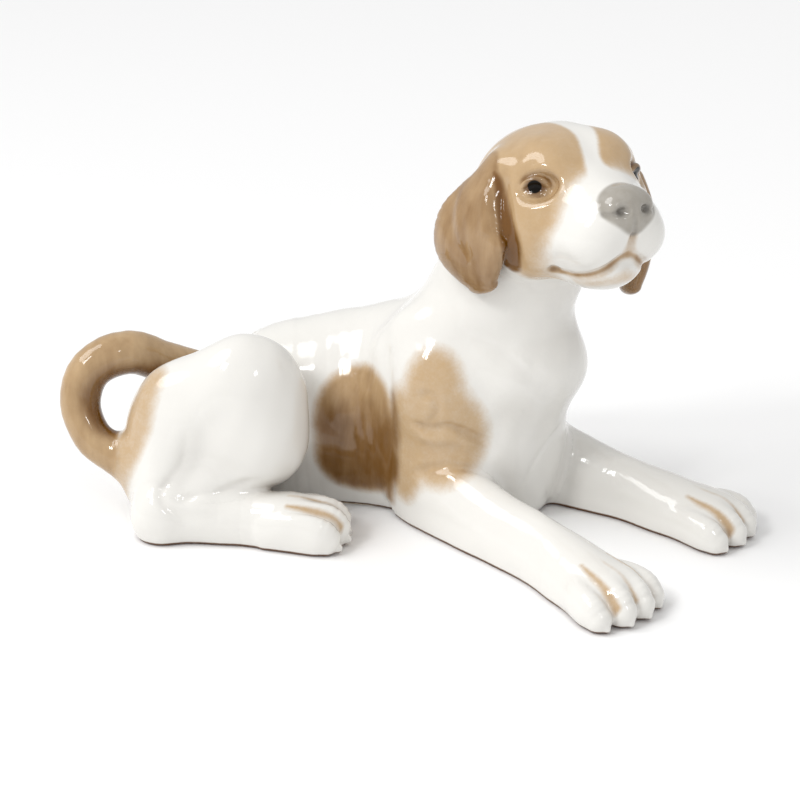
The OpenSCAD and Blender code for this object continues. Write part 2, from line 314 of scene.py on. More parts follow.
def lids(c):
    # a socket, the ball of the eye in it, its lids and the folds above and below them
    r = eye["radius"]
    c.ball(onEye(0, 2, r + 1.2), (2.8, 5.4, 3.4), yaw=30, blend=3, how="cut")
    c.ball(eye["centre"], (r, r, r), blend=0.4)
    lidBar(c, [(56, -13), (36, 8), (6, 20), (-26, 13), (-52, -7), (-68, -15)], r + 0.3, 1.0)
    lidBar(c, [(56, -13), (30, -22), (0, -25), (-30, -22), (-52, -13), (-66, -16)], r + 0.1, 0.8)
    c.stroke([onEye(66, 14, r + 2), onEye(36, 46, r + 2), onEye(0, 56, r + 2), onEye(-40, 44, r + 2)],
             1.1, 0.3)
    c.stroke([onEye(34, -52, r + 2), onEye(4, -60, r + 2), onEye(-28, -52, r + 2)], 0.9, 0.22)


def nosePad(c):
    # a pad with a lower point, two wings, a nostril and a slit in each, and a groove down its middle
    c.ball((31.4, 0, 2.4), (4.5, 6, 4.6), blend=1.2)
    c.ball((33, 0, -1), (3.1, 3.8, 3.7), blend=1.5)
    for side in (-1, 1):
        toHead(c, side)
        c.ball((31.6, 4.1, 1), (4, 3.1, 3.5), blend=1.5)
        c.ball((36.3, 3.8, 0.8), (2.2, 1.5, 1.2), yaw=16, blend=1.5, how="cut")
        c.stroke([(35.2, 5, 0.4), (33.8, 6.8, 0), (32.2, 8, 0.4)], 0.8, 0.45)
    toHead(c)
    c.stroke([(36.4, 0, 4.6), (37, 0, 1), (36.2, 0, -3), (35.2, 0, -5.4)], 0.6, 0.7)


def mouth(c):
    # a groove from a hollow at each corner to the middle of the upper lip, and one up to the nose
    for side in (-1, 1):
        toHead(c, side)
        c.stroke([(15, 12.8, -15.6), (19.5, 10.8, -16.8), (25.5, 9, -16.4), (29.6, 6.6, -14.8),
                  (32, 3, -12.2), (32.6, 0, -11.2)], 0.85, 1.6)
        c.ball((15.8, 12.4, -15.4), (1.4, 1.2, 1.2), blend=1, how="cut")
    toHead(c)
    c.stroke([(34.6, 0, -4.8), (33.8, 0, -7.6), (32.8, 0, -10.6)], 0.8, 0.8)


def ear(side, drop=0):
    # a flat leaf hanging along the cheek, its tip lowered by the drop, with folds along it
    c = Clay()
    toHead(c, side)
    c.limb([(-1, 17.5, 10.5, 4, 2.8), (-2, 20.5, 6.5, 6.5, 3.2), (-3.5, 23.4, 1.5, 9.8, 3.5),
            (-5, 25.6, -5, 13.4, 3.5), (-5, 26, -11 - drop / 3, 14, 3.4),
            (-4.2, 24.8, -16.5 - 0.7 * drop, 11, 3.2), (-3.5, 23.4, -20.8 - drop, 6, 2.6)],
           side=(1, -0.24, 0))
    c.stroke([(-9, 26, 8), (-10, 29, 0), (-7, 30, -8), (-2, 28.4, -14)], 2.4, 0.8)
    c.stroke([(2, 24.4, 6), (3.6, 25.6, -1), (4, 26, -7)], 2, -0.6)
    c.stroke([(-6, 27, 7), (-5, 29, 1), (-3, 29.6, -6), (-1, 28.6, -13)], 1.5, 0.4)
    return c


tailShape = {"line": ((-50, -10, 34), (-56, -17, 35.5), (-63, -26, 40.5), (-70.5, -35.5, 46),
                      (-78, -43.5, 42.5), (-80, -47.5, 33), (-75.5, -49.5, 24.5), (-68, -49, 19.5),
                      (-59, -46.5, 18)),
             "radius": (6.4, 6.2, 6.2, 6.4, 6.2, 5.8, 5.6, 5.6, 5.5)}


def tail():
    # a round bar from the hip, up, round and forwards to the haunch
    c = Clay()
    rows = [(*p, r) for p, r in zip(tailShape["line"], tailShape["radius"])]
    c.limb(rows, side=(0.75, -0.66, 0))
    return c


# each leg's frame on the ground, and its paw's tip, middle, width and height in that frame
legs = {"right_foreleg": {"place": (9, -10, 0), "yaw": -24.5, "mirror": 1},
        "left_foreleg": {"place": (25, 22, 0), "yaw": -8, "mirror": 1},
        "right_hind_foot": {"place": (-38.5, -39, 0), "yaw": 25, "mirror": 1},
        "left_hind_foot": {"place": (-38, 22, 0), "yaw": 25, "mirror": -1}}
paws = {"right_foreleg": (90.5, -0.3, 26.5, 13), "left_foreleg": (80, -0.3, 26.5, 13),
        "right_hind_foot": (37.5, -14, 21, 15), "left_hind_foot": (37.5, -14, 21, 15)}


def toLeg(c, name):
    # lumps are given in that leg's frame from now on
    leg = legs[name]
    c.frameTo(leg["place"], turned(leg["yaw"]), leg["mirror"])


def thigh(side):
    # thigh, buttock and knee as balls, the shown one with its hock besides
    c = Clay()
    if side < 0:
        toLeg(c, "right_hind_foot")
        c.ball((8, 0, 38), (17.2, 13, 19.2))
        c.ball((-10, 3.5, 24.5), (17.5, 13.5, 23.5), blend=10)
        c.ball((12, -2, 25), (12.5, 12, 12.5), blend=8)
        c.ball((-19.5, 3, 13.5), (9.8, 10, 12.5), blend=6)
        c.ball((-3, -6.5, 14), (13, 7, 7), blend=6)
        c.limb([(-18.5, -8.5, 9, 5, 5.5), (-17, -7.6, 15, 4.6, 5), (-14, -6, 23, 5, 5.4),
                (-9.5, -3.5, 32, 6, 6)], blend=5)
    else:
        toLeg(c, "left_hind_foot")
        c.ball((8, 0, 23.5), (17.5, 13, 11.5))
        c.ball((-10, 4, 15.5), (17, 13, 14.5), blend=8)
        c.ball((13, -2, 15.5), (12.5, 12, 8), blend=6)
    return c


def hindFoot(name):
    # a heel, and a bar from it to the toes
    c = Clay()
    toLeg(c, name)
    c.ball((-17.2, -10.2, 6.2), (7.9, 7.6, 9.6))
    c.limb([(-14, -10.2, 6, 7.2, 9.4), (-6, -10.5, 6, 7.2, 9.2), (7, -11.5, 5, 7, 8.8),
            (20, -13, 5, 9.2, 9.4), (28, -14, 4, 9.2, 8.6)])
    toes(c, *paws[name])
    return c


def toes(c, tip, y, wide, high):
    # four toes, the middle two ahead, each a knuckle that bends down to a claw
    for k in (-1.5, -0.5, 0.5, 1.5):
        x, out = tip - 1.2 * k * k, y + k * wide / 4
        low = high * (1 - 0.06 * k * k)
        c.limb([(x - 22, y + k * wide / 7, 0.30 * low, wide / 12, 0.40 * low),
                (x - 13, y + k * wide / 4.9, 0.40 * low, wide / 7.4, 0.50 * low),
                (x - 6.5, out, 0.38 * low, wide / 6.9, 0.47 * low),
                (x - 3.4, out, 0.26 * low, wide / 7.4, 0.36 * low)], blend=1.2)
        c.ball((x - 1.2, out, 0.16 * low), (1.9, 1.0, 1.6), lift=-20, blend=0.8)


def foreleg(name, side):
    # a bar along the ground from the elbow to the paw, and the upper arm over its elbow
    c = Clay()
    toLeg(c, name)
    long = paws[name][0]
    c.limb([(-6, 0.5, 8, 5.5, 6), (-1, 0.5, 9, 8.8, 13), (11, 0.8, 8, 9.6, 15.5), (31, 1, 5, 9, 13.5),
            (long - 38, 0.8, 4.5, 8.4, 12), (long - 24, 0, 4, 10, 10.6), (long - 12, -0.3, 3.5, 11, 9.2)])
    toes(c, *paws[name])
    c.frameTo((0, 0, 0), np.eye(3))
    c.ball((17, 8 + side * 19, 33), (15, 11, 22), blend=9, roll=-14 * side)
    return c


def marks():
    # creases, folds and luted seams that cross from one casting to the next; most of these routes
    # are places chosen by eye that a scratch script laid onto the surface
    c = Clay()
    c.stroke([(1.5, -12.5, 56), (4.2, -17, 49.6), (5.8, -19.8, 41), (6.8, -20.2, 34), (6, -19.2, 24),
              (5, -18, 11)], 2.4, 0.7)
    c.stroke([(15, -21.8, 33.5), (20, -22.1, 32.4), (25.1, -20.7, 33.8), (31.6, -16.1, 29.8),
              (35, -14, 26)], 1.3, 1.0)
    c.stroke([(16, -22.5, 29.5), (21, -21.6, 29), (26, -20, 29.5), (31, -17.5, 27)], 1.7, -0.5)
    c.stroke([(14.6, -21.2, 17.5), (19.6, -21.8, 20.2), (26, -20.8, 21.8), (34, -17.1, 20)], 1.4, 0.7)
    c.stroke([(16.4, -22.9, 42.2), (20.3, -22.6, 42.8), (22, -22.3, 38.4), (18.5, -22.2, 33.1)], 1.4, 0.6)
    c.stroke([(28.9, -14.9, 59.6), (34.3, -14.1, 57.4), (40.7, -13, 52.9), (47.2, -10.3, 46.9),
              (50, -5.3, 40.4)], 3.0, 0.8)
    c.stroke([(39.4, -12.7, 55.5), (42.5, -11.8, 53.4), (45.1, -11, 51)], 1.0, -0.35)
    c.stroke([(48.4, 4.9, 28.7), (46.6, -2.2, 24.9), (43.8, -6.5, 18.4), (40.4, -7.9, 10.1)], 0.7, 0.35)
    c.stroke([(-1.7, -12.2, 51.1), (0.4, -15.2, 47.3), (-0.4, -16.3, 39.9), (-4.1, -16.2, 34.5)], 2.2, -0.6)
    c.stroke([(-16.6, -18.5, 33.2), (-13.8, -19.2, 27.4), (-8.1, -18.2, 24.4), (-7, -18.2, 19.8)], 2.6, 0.4)
    c.stroke([(-41.4, -51.9, 32.1), (-43.5, -52.5, 23.2), (-47.2, -56.9, 15.5), (-45.1, -59.5, 12.6),
              (-39.8, -58.7, 9.5), (-31.3, -55.1, 9)], 1.5, 0.6)
    c.stroke([(-41.8, -57.2, 13.5), (-34.4, -50.6, 14.7), (-23.7, -46, 18.7)], 1.3, 0.6)
    return c


waveHeight = 0.11


def unevenness(p):
    # the slight waves that a mould and a sponge leave, a sum of slow sines
    x, y, z = p.T
    waves = np.sin(0.31 * x + 0.17 * y + 1) * np.sin(0.27 * z - 0.12 * x)
    waves += 0.6 * np.sin(0.52 * y - 0.33 * z + 2) * np.sin(0.43 * x + 0.2 * y)
    return waveHeight * waves


def earBlend(p):
    # the ears run smoothly into the head at their roots and hang free below
    return 1.0 + 5 * np.clip((p[:, 2] - 101) / 8, 0, 1)


# each casting's clay, how softly it runs into those before it, its mesh's cell size, and how far
# its whole skin is sunk, so that two lapped skins don't lie in the same place
casts = {
    "torso_shell": {"clay": torso(), "blend": 4, "cell": 0.7, "sink": 0},
    "head_shell": {"clay": head(), "blend": 5, "cell": 0.4, "sink": 0.02},
    "right_ear": {"clay": ear(-1), "blend": earBlend, "cell": 0.5, "sink": 0.04},
    "left_ear": {"clay": ear(1, 7), "blend": earBlend, "cell": 0.5, "sink": 0.04},
    "tail": {"clay": tail(), "blend": 3, "cell": 0.55, "sink": 0.04},
    "right_thigh": {"clay": thigh(-1), "blend": 5, "cell": 0.6, "sink": 0.02},
    "left_thigh": {"clay": thigh(1), "blend": 5, "cell": 0.7, "sink": 0.02},
    "right_hind_foot": {"clay": hindFoot("right_hind_foot"), "blend": 2.5, "cell": 0.45, "sink": 0.03},
    "left_hind_foot": {"clay": hindFoot("left_hind_foot"), "blend": 2.5, "cell": 0.45, "sink": 0.03},
    "right_foreleg": {"clay": foreleg("right_foreleg", -1), "blend": 5, "cell": 0.5, "sink": 0.02},
    "left_foreleg": {"clay": foreleg("left_foreleg", 1), "blend": 5, "cell": 0.5, "sink": 0.02}}
folds = marks()
print("clay laid out for", len(casts), "castings")


def whole(p):
    # distance to the whole figure, and to each casting by itself
    own = {}
    f = None
    for name, cast in casts.items():
        own[name] = cast["clay"](p)
        blend = cast["blend"](p) if callable(cast["blend"]) else cast["blend"]
        f = own[name].copy() if f is None else softMin(f, own[name], blend)
    f = folds(p, f) + unevenness(p)
    return softMax(f, -p[:, 2], 0.8), own


lap = 1.2  # how far neighbouring castings reach under one another
vent = {"centre": (-21.5, 2.8), "radius": 3.6, "depth": 12, "plateGap": 0.25}


def underside(p):
    # the room for the closing plate, and the firing vent above it
    across = np.hypot(p[:, 0] - vent["centre"][0], p[:, 1] - vent["centre"][1]) - vent["radius"]
    return np.minimum(p[:, 2] - vent["plateGap"], np.maximum(across, p[:, 2] - vent["depth"]))


def casting(name):
    # the part of the figure that is nearer to this casting than to any other, and a lap more
    sink = casts[name]["sink"]

    def field(p):
        f, own = whole(p)
        rest = np.min([d for other, d in own.items() if other != name], axis=0)
        f = np.maximum(f + sink, (own[name] - rest) / 2 - lap)
        return np.maximum(f, -underside(p)) if name == "torso_shell" else f
    return field


# the corners of a cell, the pairs of them that its edges join, and the cells along a block's side
corners = np.array([(i, j, k) for i in (0, 1) for j in (0, 1) for k in (0, 1)])
edges = [(a, b) for a in range(8) for b in range(a + 1, 8)
         if np.abs(corners[a] - corners[b]).sum() == 1]
block = 4
nearBlock = 1.4  # a block is looked into where the surface is nearer than this many blocks


def skin(field, low, high, cell):
    # one vertex in each cell that the surface passes through, one quad for each lattice edge
    # that it crosses; the field is worked out only in blocks near the surface
    counts = np.ceil((np.asarray(high) - low) / (cell * block)).astype(int)
    size = counts * block + 1
    coarse = np.stack(np.meshgrid(*[np.arange(n + 1) for n in counts], indexing="ij"), -1)
    rough = field(low + coarse.reshape(-1, 3) * cell * block).reshape(counts + 1)
    near = np.zeros(counts, bool)
    for c in corners:
        part = rough[tuple(slice(a, a + n) for a, n in zip(c, counts))]
        near |= np.abs(part) < nearBlock * cell * block
    for axis in range(3):
        rough = np.repeat(rough, block, axis=axis)
        near = np.repeat(near, block, axis=axis)
    values = rough[tuple(slice(0, n) for n in size)].astype(np.float32)
    wanted = np.zeros(size, bool)
    for c in corners:
        wanted[tuple(slice(a, a + n - 1) for a, n in zip(c, size))] |= near
    where = np.argwhere(wanted)
    values[wanted] = field(low + where * cell)
    inside = values < 0
    count = np.zeros(size - 1, np.int8)
    for c in corners:
        count += inside[tuple(slice(a, a + n - 1) for a, n in zip(c, size))]
    cells = np.argwhere((count > 0) & (count < 8))
    v = np.stack([values[tuple((cells + c).T)] for c in corners], 1)
    total = np.zeros((len(cells), 3))
    hits = np.zeros(len(cells))
    for a, b in edges:
        crossed = (v[:, a] < 0) != (v[:, b] < 0)
        t = np.where(crossed, v[:, a] / np.where(crossed, v[:, a] - v[:, b], 1), 0)
        total += crossed[:, None] * (corners[a] + t[:, None] * (corners[b] - corners[a]))
        hits += crossed
    verts = low + (cells + total / hits[:, None]) * cell
    number = np.full(size - 1, -1, np.int32)
    number[tuple(cells.T)] = np.arange(len(cells))
    quads = []
    for axis in range(3):
        u = (axis + 1) % 3
        w = (axis + 2) % 3
        ahead = [slice(None)] * 3
        ahead[axis] = slice(1, None)
        behind = [slice(None)] * 3
        behind[axis] = slice(0, -1)
        flip = inside[tuple(behind)] != inside[tuple(ahead)]
        at = np.argwhere(flip)
        at = at[(at[:, u] > 0) & (at[:, w] > 0) & (at[:, u] < size[u] - 1) & (at[:, w] < size[w] - 1)]
        ring = []
        for du, dw in ((1, 1), (0, 1), (0, 0), (1, 0)):
            c = at.copy()
            c[:, u] -= du
            c[:, w] -= dw
            ring.append(number[tuple(c.T)])
        ring = np.stack(ring, 1)
        inward = inside[tuple(at.T)]
        quads.append(np.where(inward[:, None], ring, ring[:, ::-1]))
    return verts, np.vstack(quads)


tetra = np.array(((1, 1, 1), (1, -1, -1), (-1, 1, -1), (-1, -1, 1)), float)


def slope(field, p, step):
    # the field and its gradient from four points round each place
    f = field((p[:, None, :] + step * tetra).reshape(-1, 3)).reshape(-1, 4)
    return f.mean(1), (f @ tetra) / (4 * step)


evening = 0.6  # how far a point moves towards the middle of its neighbours


def settle(field, verts, quads, cell, rounds):
    # evens the mesh out and brings it back onto the surface: each point moves towards the mean of
    # its neighbours, then down the field's gradient by the field over the gradient's length
    a = quads.ravel()
    b = np.roll(quads, -1, axis=1).ravel()
    ends = np.concatenate((a, b))
    others = np.concatenate((b, a))
    many = np.bincount(ends, minlength=len(verts))[:, None]
    for _ in range(rounds):
        mean = np.stack([np.bincount(ends, verts[others, i], len(verts)) for i in range(3)], 1) / many
        verts = verts + evening * (mean - verts)
        f, g = slope(field, verts, 0.25 * cell)
        move = -f[:, None] * g / ((g * g).sum(1) + 0.05)[:, None]
        verts = verts + np.clip(move, -cell, cell)
    return verts


def meshOf(name, verts, quads):
    # a smooth mesh of four-sided faces, in metres
    mesh = bpy.data.meshes.new(name)
    mesh.vertices.add(len(verts))
    mesh.vertices.foreach_set("co", (verts * mm).astype(np.float32).ravel())
    mesh.loops.add(quads.size)
    mesh.loops.foreach_set("vertex_index", quads.astype(np.int32).ravel())
    mesh.polygons.add(len(quads))
    mesh.polygons.foreach_set("loop_start", np.arange(0, quads.size, 4, dtype=np.int32))
    mesh.update(calc_edges=True)
    mesh.validate()
    mesh.shade_smooth()
    return mesh


def boxOf(clay):
    # the box that holds all of its lumps, down to just under the floor
    low = np.min([lump[0] for lump in clay.lumps], axis=0)
    high = np.max([lump[1] for lump in clay.lumps], axis=0)
    return np.maximum(low, (-200, -200, -1.5)), high


def smooth(x):
    # rises from 0 to 1 with a level start and end: 3 x squared less 2 x cubed
    x = np.clip(x, 0, 1)
    return x * x * (3 - 2 * x)


def within(clay, p, soft):
    # how far inside a painted patch each place is, from 0 to 1 over a soft edge
    return smooth(0.5 - clay(p) / soft)


def patch(heads=0, balls=(), limbs=()):
    # a painted patch as lumps of clay, in the figure's frame, in the head's where heads is 1, and
    # in the head's on both sides where it is 2
    c = Clay()
    for side in (-1, 1) if heads == 2 else (1,):
        if heads:
            toHead(c, side)
        for centre, half in balls:
            c.ball(centre, half, blend=2.5)
        for rows in limbs:
            c.limb(rows, blend=2)
    return c


patches = {
    "mask": patch(1, balls=[((-4, 0, 2.5), (28, 28, 25)), ((12, 0, -7), (18, 23, 18))]),
    "blaze": patch(1, limbs=[[(-8, 3, 20, 4.6, 6), (2.5, 3.2, 19.6, 3.9, 6), (10, 2.2, 17.6, 2.9, 6),
                              (16, -0.2, 13.8, 2.3, 5), (20.5, -1.4, 10.6, 2.8, 5), (25, -1, 8, 4.5, 5)]]),
    "nose": patch(2, balls=[((31.4, 0, 2.2), (5.3, 6.6, 5.2)), ((33, 0, -1.2), (3.9, 4.4, 4.3)),
                            ((31.6, 4.2, 0.8), (4.8, 3.8, 4.1))]),
    # where the nostrils are darkened as painted shade
    "nostril": patch(2, balls=[((36, 4, 0.6), (2.4, 1.6, 1.3))]),
    "lip": patch(2, limbs=[[(14.6, 13, -15.8, 1.7), (19.5, 11, -17.4, 1.9), (25.5, 9.2, -17.2, 1.7),
                            (29.8, 6.6, -15.6, 1.6), (32.2, 3, -12.8, 1.4), (32.8, 0, -11.6, 1.2)],
                           [(34.6, 0, -5, 0.5), (33.4, 0, -10, 1.0)]]),
    "chin": patch(2, limbs=[[(20, 8.5, -19, 1.8), (27, 5.6, -18.6, 2), (30, 0, -17, 2)]]),
    # painted shadow in the gap between each ear's front edge and the cheek
    "earGapShadow": patch(2, limbs=[[(2, 21, 9.4, 1), (5, 21.6, 4.7, 1.7), (8.2, 22, -4.3, 2.5),
                               (8.6, 21.2, -9.5, 2.9), (6, 19.6, -15.3, 2.5)]]),
    "mouthLine": patch(2, limbs=[[(14.4, 12, -15.6, 1.2), (18.9, 10, -16.6, 0.7), (24.8, 8.2, -16.2, 0.7),
                                  (28.8, 5.9, -14.7, 0.7), (31.2, 2.7, -12.1, 0.7), (31.8, 0, -11.1, 0.7)]]),
    "socket": patch(2, balls=[(eye["centre"], (5.5, 5.5, 5.3))]),
    "brow": patch(2, limbs=[[(3, 17, 11, 1.2), (9, 15, 13.6, 1.6), (15, 9, 11.5, 1.8), (16.5, 8, 5, 1.2)],
                            [(6, 18, -1, 0.8), (12, 15, -2.5, 1), (17, 10, -2, 0.8)]]),
    "flank": patch(balls=[((-5, -17, 29), (13.5, 12, 17)), ((-4, -18, 18), (13.5, 12, 12))]),
    "shoulder": patch(balls=[((20, -20, 43), (9, 12, 13)), ((21, -21, 31), (14.5, 16, 16)),
                             ((11, -20, 26), (8, 10, 18))]),
    # the wash joining the flank and shoulder patches, darkened along their crease as painted shade
    "crease": patch(limbs=[[(6.6, -20.5, 40, 1), (7, -20.5, 34, 2), (6.2, -19.4, 26, 2.6), (5, -18.4, 16, 3),
                            (4.9, -17.4, 7, 1.6)]]),
    "flankEdge": patch(limbs=[[(-15, -18, 36, 1.4), (-14.5, -20, 28, 2.6), (-11.5, -19.5, 21, 2.4),
                               (-14.5, -20, 15, 1.4)]]),
    "elbow": patch(limbs=[[(17, -22, 32.6, 1), (25, -21, 34, 1.8), (31.6, -16.4, 30, 1.2)],
                          [(20, -22, 19, 1), (27, -21, 19.6, 2), (33, -18.5, 18, 1)]]),
    "buttock": patch(limbs=[[(-54, -46, 43, 4.5), (-57, -50, 32, 6.5), (-61.5, -51, 21, 6.5),
                             (-65, -50, 11, 5)]]),
    # painted shade inside the tail's curl
    "curl": patch(balls=[((-71.5, -40, 32.5), (11.5, 13, 12.5))])}


def betweenToes():
    # washes of tan in the gaps between the toes
    c = Clay()
    for name, (tip, y, wide, high) in paws.items():
        toLeg(c, name)
        for k in (-1, 0, 1):
            c.limb([(tip - 18, y + k * wide / 5.4, 0.7 * high, 0.7, 4),
                    (tip - 10, y + k * wide / 4.4, 0.6 * high, 1.3, 4.5),
                    (tip - 4, y + k * wide / 4.1, 0.34 * high, 1.0, 4)], blend=0.5)
    return c


patches["toes"] = betweenToes()
# the width in millimetres over which each patch fades out
softEdges = {"mask": 4, "blaze": 2.6, "nose": 0.9, "nostril": 1.4, "lip": 3, "chin": 4, "earGapShadow": 3,
             "mouthLine": 2, "socket": 1.6, "brow": 4, "flank": 6, "shoulder": 8, "crease": 7,
             "flankEdge": 7, "elbow": 6, "buttock": 6, "curl": 6, "toes": 2.4}
# how strongly each patch is washed with tan, and with brown over it; the wash in the gap under the ears and
# the brown along the crease are painted shade
tanWash = {"flank": 1, "shoulder": 0.86, "crease": 1, "buttock": 0.8, "toes": 0.8, "lip": 0.75, "chin": 0.5,
           "earGapShadow": 1, "mouthLine": 1}
brownWash = {"crease": 0.85, "flankEdge": 0.86, "elbow": 0.3, "shoulder": 0.14, "buttock": 0.12,
             "earGapShadow": 0.98, "mouthLine": 0.5, "socket": 0.66, "lip": 0.24, "toes": 0.2}


def shut(p, normals, reach):
    # how closed in each place is: 1 where the figure is met a reach off the surface, 0 where it's open
    return np.clip(1 - whole(p + reach * normals)[0] / reach, 0, 1)


def paintAt(p, normals):
    # tan, brown and grey underglaze, and painted shade from the depth of crevices, each from 0 to 1
    local = (p - np.asarray(headFrame["origin"])) @ turned(headFrame["yaw"], headFrame["lift"]).T
    own = whole(p)[1]
    # painted shade: how closed in each place is, close by and further off
    creviceShade = shut(p, normals, 2)
    hollow = shut(p, normals, 7)
    on = {name: within(c, p, softEdges[name]) for name, c in patches.items()}
    # the tail and the ears are painted up to where their neighbours' clay is nearer
    others = np.minimum(own["torso_shell"], np.minimum(own["right_thigh"], own["left_thigh"]))
    tailHere = smooth(0.5 + (others - own["tail"]) / 4) * smooth((-46 - p[:, 0]) / 9)
    neighbours = np.minimum(own["head_shell"], own["torso_shell"])
    earHere = smooth(0.5 + (neighbours - np.minimum(own["right_ear"], own["left_ear"])) / 1.5)
    earHere *= smooth((p[:, 2] - 60) / 3)
    # the mask stops at the white muzzle, the blaze, the throat and the neck
    muzzle = smooth(0.5 + (local[:, 0] - 22 + 0.55 * np.clip(-local[:, 2] - 2, 0, 20)) / 10)
    headTan = on["mask"] * (1 - muzzle) * (1 - on["blaze"]) * smooth((local[:, 2] + 24) / 5)
    headTan *= smooth(0.5 + (own["torso_shell"] - own["head_shell"] - 2) / 5)
    tan = np.max([0.94 * headTan, earHere, tailHere, *(v * on[k] for k, v in tanWash.items())], axis=0)
    # brown deepens down the ears and the flank, inside the tail's curl as painted shade, and over the eyes
    browns = [(0.52 + 0.12 * smooth((92 - p[:, 2]) / 16)) * earHere,
              0.34 * tailHere + 0.5 * tailHere * on["curl"],
              (0.42 + 0.34 * smooth((40 - p[:, 2]) / 14)) * on["flank"],
              0.2 * headTan,
              0.3 * headTan * on["brow"]]
    brown = np.max([*browns, *(v * on[k] for k, v in brownWash.items())], axis=0)
    # painted shade: brown darkens the crevices of tan places
    brown = np.clip(brown + 0.9 * creviceShade * creviceShade * np.clip(tan, 0, 1), 0, 1)
    # painted shade: the crevices, the broad hollows and the nostrils
    creviceShade = np.max([creviceShade, 0.62 * hollow, 0.9 * on["nostril"] * on["nose"]], axis=0)
    return np.stack((tan, brown, on["nose"], creviceShade), 1)


def normalsOf(verts, quads):
    # each point's normal: the sum of its faces', each the cross product of the face's diagonals
    a, b, c, d = (verts[quads[:, k]] for k in range(4))
    faces = np.cross(c - a, d - b)
    n = np.stack([np.bincount(quads.ravel(), np.repeat(faces[:, k], 4), len(verts)) for k in range(3)], 1)
    return n / (np.linalg.norm(n, axis=1)[:, None] + 1e-9)


def sculpt(name):
    # the casting's points, its faces, and the paint and painted shade on them
    cell = casts[name]["cell"] * 1
    field = casting(name)
    low, high = boxOf(casts[name]["clay"])
    verts, quads = skin(field, low, high, cell)
    verts = settle(field, verts, quads, cell, 2)
    return verts, quads, paintAt(verts, normalsOf(verts, quads))


def makeCasting(name, made, material):
    # the casting as an object, with its paint and painted shade as an attribute of its points
    verts, quads, paint = made
    mesh = meshOf(name + "_casting", verts, quads)
    layer = mesh.attributes.new("paint", "FLOAT_COLOR", "POINT")
    layer.data.foreach_set("color", paint.astype(np.float32).ravel())
    piece = bpy.data.objects.new(name + "_casting", mesh)
    bpy.context.collection.objects.link(piece)
    mesh.materials.append(material)
    print(name, len(verts), "points", len(quads) * 2, "triangles")
    return piece


class Wire:
    # a node's output; expressions on wires add the Math nodes that work them out
    def __init__(self, tree, socket=None):
        self.tree, self.socket = tree, socket

    def node(self, kind, settings=None, sockets=None, out=0):
        made = self.tree.nodes.new("ShaderNode" + kind)
        for name, value in (settings or {}).items():
            setattr(made, name, value)
        for key, value in (sockets or {}).items():
            self.put(made.inputs[key], value)
        return Wire(self.tree, made.outputs[out])

    def put(self, target, value):
        if isinstance(value, Wire):
            self.tree.links.new(value.socket, target)
        else:
            target.default_value = value

    def maths(self, operation, a, b):
        return self.node("Math", {"operation": operation}, {0: a, 1: b})

    def __add__(self, other):
        return self.maths("ADD", self, other)

    def __radd__(self, other):
        return self.maths("ADD", other, self)

    def __sub__(self, other):
        return self.maths("SUBTRACT", self, other)

    def __rsub__(self, other):
        return self.maths("SUBTRACT", other, self)

    def __mul__(self, other):
        return self.maths("MULTIPLY", self, other)

    def __rmul__(self, other):
        return self.maths("MULTIPLY", other, self)

    def rise(self, low, high):
        # 0 below the first value and 1 above the second, smooth between them
        return self.node("MapRange", {"interpolation_type": "SMOOTHSTEP"},
                         {"Value": self, "From Min": low, "From Max": high})

    def over(self, factor, below, above):
        # one colour laid over another, as far as the factor says
        return self.node("Mix", {"data_type": "RGBA"}, {0: factor, 6: below, 7: above}, out=2)


def colour(red, green, blue):
    # a screen colour of 0 to 255 as the linear light that shaders work in
    light = [c / 255 / 12.92 if c < 11 else ((c / 255 + 0.055) / 1.055) ** 2.4 for c in (red, green, blue)]
    return (*light, 1)


def newMaterial(name):
    # a material, its Principled node and a wire to start its expressions from
    material = bpy.data.materials.new(name)
    material.use_nodes = True
    return material, material.node_tree.nodes["Principled BSDF"], Wire(material.node_tree)


# the glaze's colours; shade is painted shade in crevices, nostril the painted shade in the nostrils, and
# foot a painted shadow where the figure meets the floor
glazeLook = {"body": (226, 224, 219), "shade": (160, 150, 138), "tan": (192, 163, 124),
             "brown": (106, 67, 12), "nose": (164, 158, 148), "nostril": (96, 92, 86),
             "iris": (92, 58, 26), "pupil": (14, 9, 6), "foot": (92, 56, 20)}
# where a painted iris and pupil begin to fade and end, and the height of the painted shadow along the foot,
# in metres
edgesOf = {"iris": (0.0019, 0.0034), "pupil": (0.0017, 0.00205), "foot": (0.0008, 0.0013)}


def noise(w, place, scale, detail=3, rough=0.5):
    # noise from 0 to 1 with so many bumps to the metre
    return w.node("TexNoise", None, {"Vector": place, "Scale": scale, "Detail": detail, "Roughness": rough})


def eyePlaces():
    # the middle of each pupil, in the figure's frame
    places = []
    for side in (-1, 1):
        c = Clay()
        toHead(c, side)
        places.append(tuple(float(v) for v in c.out(onEye(5, 2, eye["radius"])) * mm))
    return places


